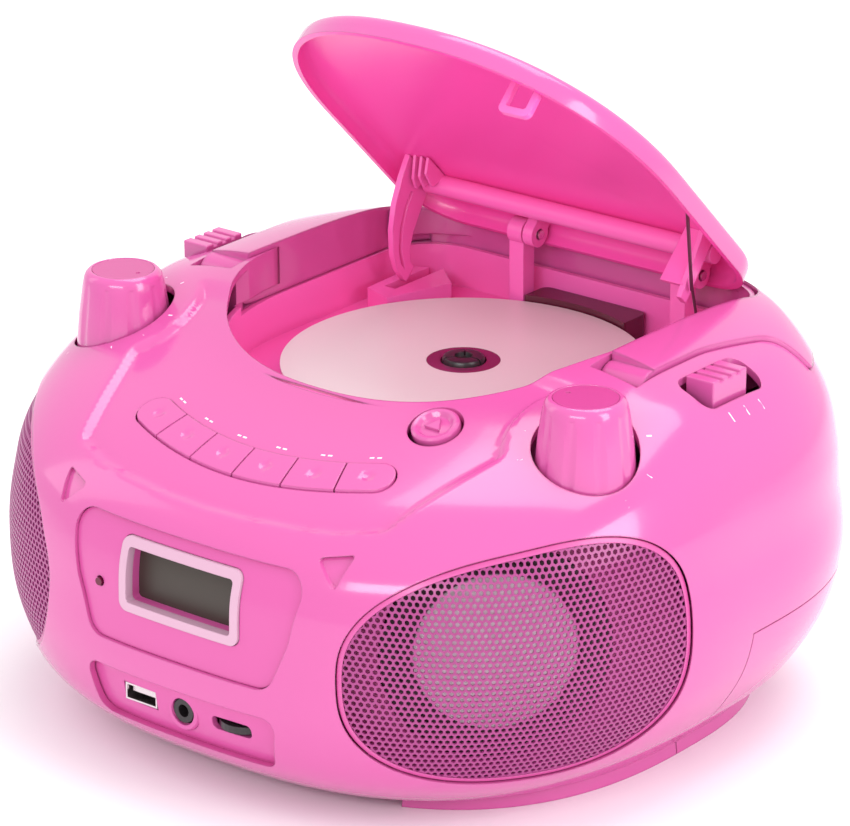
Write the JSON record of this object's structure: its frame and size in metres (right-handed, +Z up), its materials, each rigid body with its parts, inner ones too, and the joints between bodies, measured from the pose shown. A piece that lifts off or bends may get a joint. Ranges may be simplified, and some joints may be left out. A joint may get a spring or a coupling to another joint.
{
  "type": "portable cd player",
  "caption": "Round portable disc player with a hinged lid, fold-down carrying handle, two side speakers, knobs, sliders, keys and a small front display.",
  "frame": {"origin": "middle of the bounding box on the ground, under the case", "axes": "+X to the player's right as seen from the front, +Y to the back, +Z up"},
  "size_m": [0.264, 0.2364, 0.2224],
  "materials": {
    "pink_plastic": "gloss",
    "deep_pink_plastic": "satin",
    "pale_pink_plastic": "satin",
    "dark_plastic": "matte",
    "pale_plastic": "matte",
    "steel": "polished",
    "component_metal": "satin",
    "circuit_board": "matte",
    "disc": "gloss",
    "smoked_window": "gloss"
  },
  "bodies": {
    "case": {"antenna_bracket": "steel", "aux_jack": "dark_plastic", "battery_box": "pink_plastic", "disc_well": "pink_plastic", "display_bezel": "pale_pink_plastic", "display_module": "dark_plastic", "display_panel": "pink_plastic", "display_window": "smoked_window", "handle_pin_left": "steel", "handle_pin_right": "steel", "hinge_pin_left": "steel", "hinge_pin_right": "steel", "key_board": "circuit_board", "left_grille": "deep_pink_plastic", "left_speaker_frame": "component_metal", "lid_spring": "steel", "main_board": "circuit_board", "mains_inlet": "dark_plastic", "mechanism_chassis": "dark_plastic", "mechanism_cover": "dark_plastic", "mic_volume_pot": "component_metal", "port_panel": "pink_plastic", "power_led": "dark_plastic", "rear_cabinet": "pink_plastic", "right_grille": "deep_pink_plastic", "right_speaker_frame": "component_metal", "sled_motor": "component_metal", "sled_rail_left": "steel", "sled_rail_right": "steel", "spindle_motor": "component_metal", "top_cabinet": "pink_plastic", "transformer": "component_metal", "tuning_capacitor": "component_metal", "usb_socket": "steel", "volume_potentiometer": "component_metal"},
    "lid": {"disc_lid": "pink_plastic"},
    "carrying_handle": {"handle": "pink_plastic"},
    "volume": {"volume_knob": "pink_plastic"},
    "tuning": {"tuning_knob": "pink_plastic"},
    "function_switch": {"function_slider": "pink_plastic"},
    "band_switch": {"band_slider": "pink_plastic"},
    "mode": {"mode_key": "pink_plastic"},
    "folder": {"folder_key": "pink_plastic"},
    "play": {"play_key": "pink_plastic"},
    "stop": {"stop_key": "pink_plastic"},
    "skip_back": {"skip_back_key": "pink_plastic"},
    "skip_forward": {"skip_forward_key": "pink_plastic"},
    "lid_release": {"open_button": "pink_plastic"},
    "hook": {"latch_hook": "deep_pink_plastic"},
    "mic_volume": {"mic_volume_wheel": "dark_plastic"},
    "disc_drive": {"turntable": "dark_plastic", "compact_disc": "disc"},
    "pickup": {"optical_pickup": "dark_plastic"},
    "pickup_gear": {"sled_gear": "pale_plastic"},
    "battery_cover": {"battery_door": "pink_plastic"},
    "antenna_outer": {"antenna_outer_tube": "steel"},
    "antenna_middle": {"antenna_middle_tube": "steel"},
    "antenna_tip": {"antenna_tip_rod": "steel"},
    "left_cone": {"left_speaker_cone": "pale_plastic"},
    "right_cone": {"right_speaker_cone": "pale_plastic"}
  },
  "joints": [
    {"name": "lid_hinge", "type": "hinge", "parent": "case", "child": "lid", "pos_m": [0, 0.08675, 0.1275], "axis": [1, 0, 0], "range_deg": [0, 47.5], "stiffness_Nm_per_rad": 0.05, "springref_deg": -57.3, "deforming": ["lid_spring"]},
    {"name": "handle_hinge", "type": "hinge", "parent": "case", "child": "carrying_handle", "pos_m": [0, 0.00575, 0.12], "axis": [1, 0, 0], "range_deg": [0, 80]},
    {"name": "volume_turn", "type": "hinge", "parent": "case", "child": "volume", "pos_m": [-0.0945, -0.03425, 0.1096], "axis": [0, 0, 1], "range_deg": [-150, 150]},
    {"name": "tuning_turn", "type": "hinge", "parent": "case", "child": "tuning", "pos_m": [0.0945, -0.03425, 0.1096], "axis": [0, 0, 1], "range_deg": [-140, 140]},
    {"name": "function_slide", "type": "slide", "parent": "case", "child": "function_switch", "axis": [0, 1, 0], "range_m": [-0.0035, 0.004]},
    {"name": "band_slide", "type": "slide", "parent": "case", "child": "band_switch", "axis": [0, 1, 0], "range_m": [-0.0035, 0.004]},
    {"name": "mode_press", "type": "slide", "parent": "case", "child": "mode", "axis": [0, 0, -1], "range_m": [0, 0.0012], "stiffness_N_per_m": 400, "springref_m": -0.0004},
    {"name": "folder_press", "type": "slide", "parent": "case", "child": "folder", "axis": [0, 0, -1], "range_m": [0, 0.0012], "stiffness_N_per_m": 400, "springref_m": -0.0004},
    {"name": "play_press", "type": "slide", "parent": "case", "child": "play", "axis": [0, 0, -1], "range_m": [0, 0.0012], "stiffness_N_per_m": 400, "springref_m": -0.0004},
    {"name": "stop_press", "type": "slide", "parent": "case", "child": "stop", "axis": [0, 0, -1], "range_m": [0, 0.0012], "stiffness_N_per_m": 400, "springref_m": -0.0004},
    {"name": "skip_back_press", "type": "slide", "parent": "case", "child": "skip_back", "axis": [0, 0, -1], "range_m": [0, 0.0012], "stiffness_N_per_m": 400, "springref_m": -0.0004},
    {"name": "skip_forward_press", "type": "slide", "parent": "case", "child": "skip_forward", "axis": [0, 0, -1], "range_m": [0, 0.0012], "stiffness_N_per_m": 400, "springref_m": -0.0004},
    {"name": "open_press", "type": "slide", "parent": "case", "child": "lid_release", "axis": [0, 0, -1], "range_m": [0, 0.0025], "stiffness_N_per_m": 400, "springref_m": -0.0008},
    {"name": "hook_slide", "type": "slide", "parent": "case", "child": "hook", "axis": [0, -1, 0], "range_m": [0, 0.002]},
    {"name": "mic_volume_turn", "type": "hinge", "parent": "case", "child": "mic_volume", "pos_m": [0.0195, -0.10675, 0.029], "axis": [0, 0, 1], "range_deg": [-135, 135]},
    {"name": "disc_spin", "type": "hinge", "parent": "case", "child": "disc_drive", "pos_m": [0, 0.02575, 0.104], "axis": [0, 0, 1], "continuous": true},
    {"name": "pickup_slide", "type": "slide", "parent": "case", "child": "pickup", "axis": [0.7071, 0.7071, 0], "range_m": [-0.004, 0.028]},
    {"name": "pickup_gear_turn", "type": "hinge", "parent": "case", "child": "pickup_gear", "pos_m": [0.04384, 0.03565, 0.0905], "axis": [0, 0, 1], "range_deg": [-395, 60]},
    {"name": "battery_door_hinge", "type": "hinge", "parent": "case", "child": "battery_cover", "pos_m": [0, 0.07875, 0.00565], "axis": [1, 0, 0], "range_deg": [0, 90]},
    {"name": "antenna_fold", "type": "hinge", "parent": "case", "child": "antenna_outer", "pos_m": [0.07, 0.10475, 0.101], "axis": [0, 0, -1], "range_deg": [0, 90]},
    {"name": "antenna_middle_slide", "type": "slide", "parent": "antenna_outer", "child": "antenna_middle", "axis": [-1, 0, 0], "range_m": [0, 0.105]},
    {"name": "antenna_tip_slide", "type": "slide", "parent": "antenna_middle", "child": "antenna_tip", "axis": [-1, 0, 0], "range_m": [0, 0.105]},
    {"name": "left_cone_travel", "type": "slide", "parent": "case", "child": "left_cone", "axis": [-0.7314, -0.682, 0], "range_m": [-0.001, 0.001], "stiffness_N_per_m": 1500},
    {"name": "right_cone_travel", "type": "slide", "parent": "case", "child": "right_cone", "axis": [0.7314, -0.682, 0], "range_m": [-0.001, 0.001], "stiffness_N_per_m": 1500}
  ],
  "couplings": [
    {"joint": "hook_slide", "follows": "open_press", "ratio": 0.8},
    {"joint": "pickup_gear_turn", "follows": "pickup_slide", "rad_per_m": -238}
  ]
}
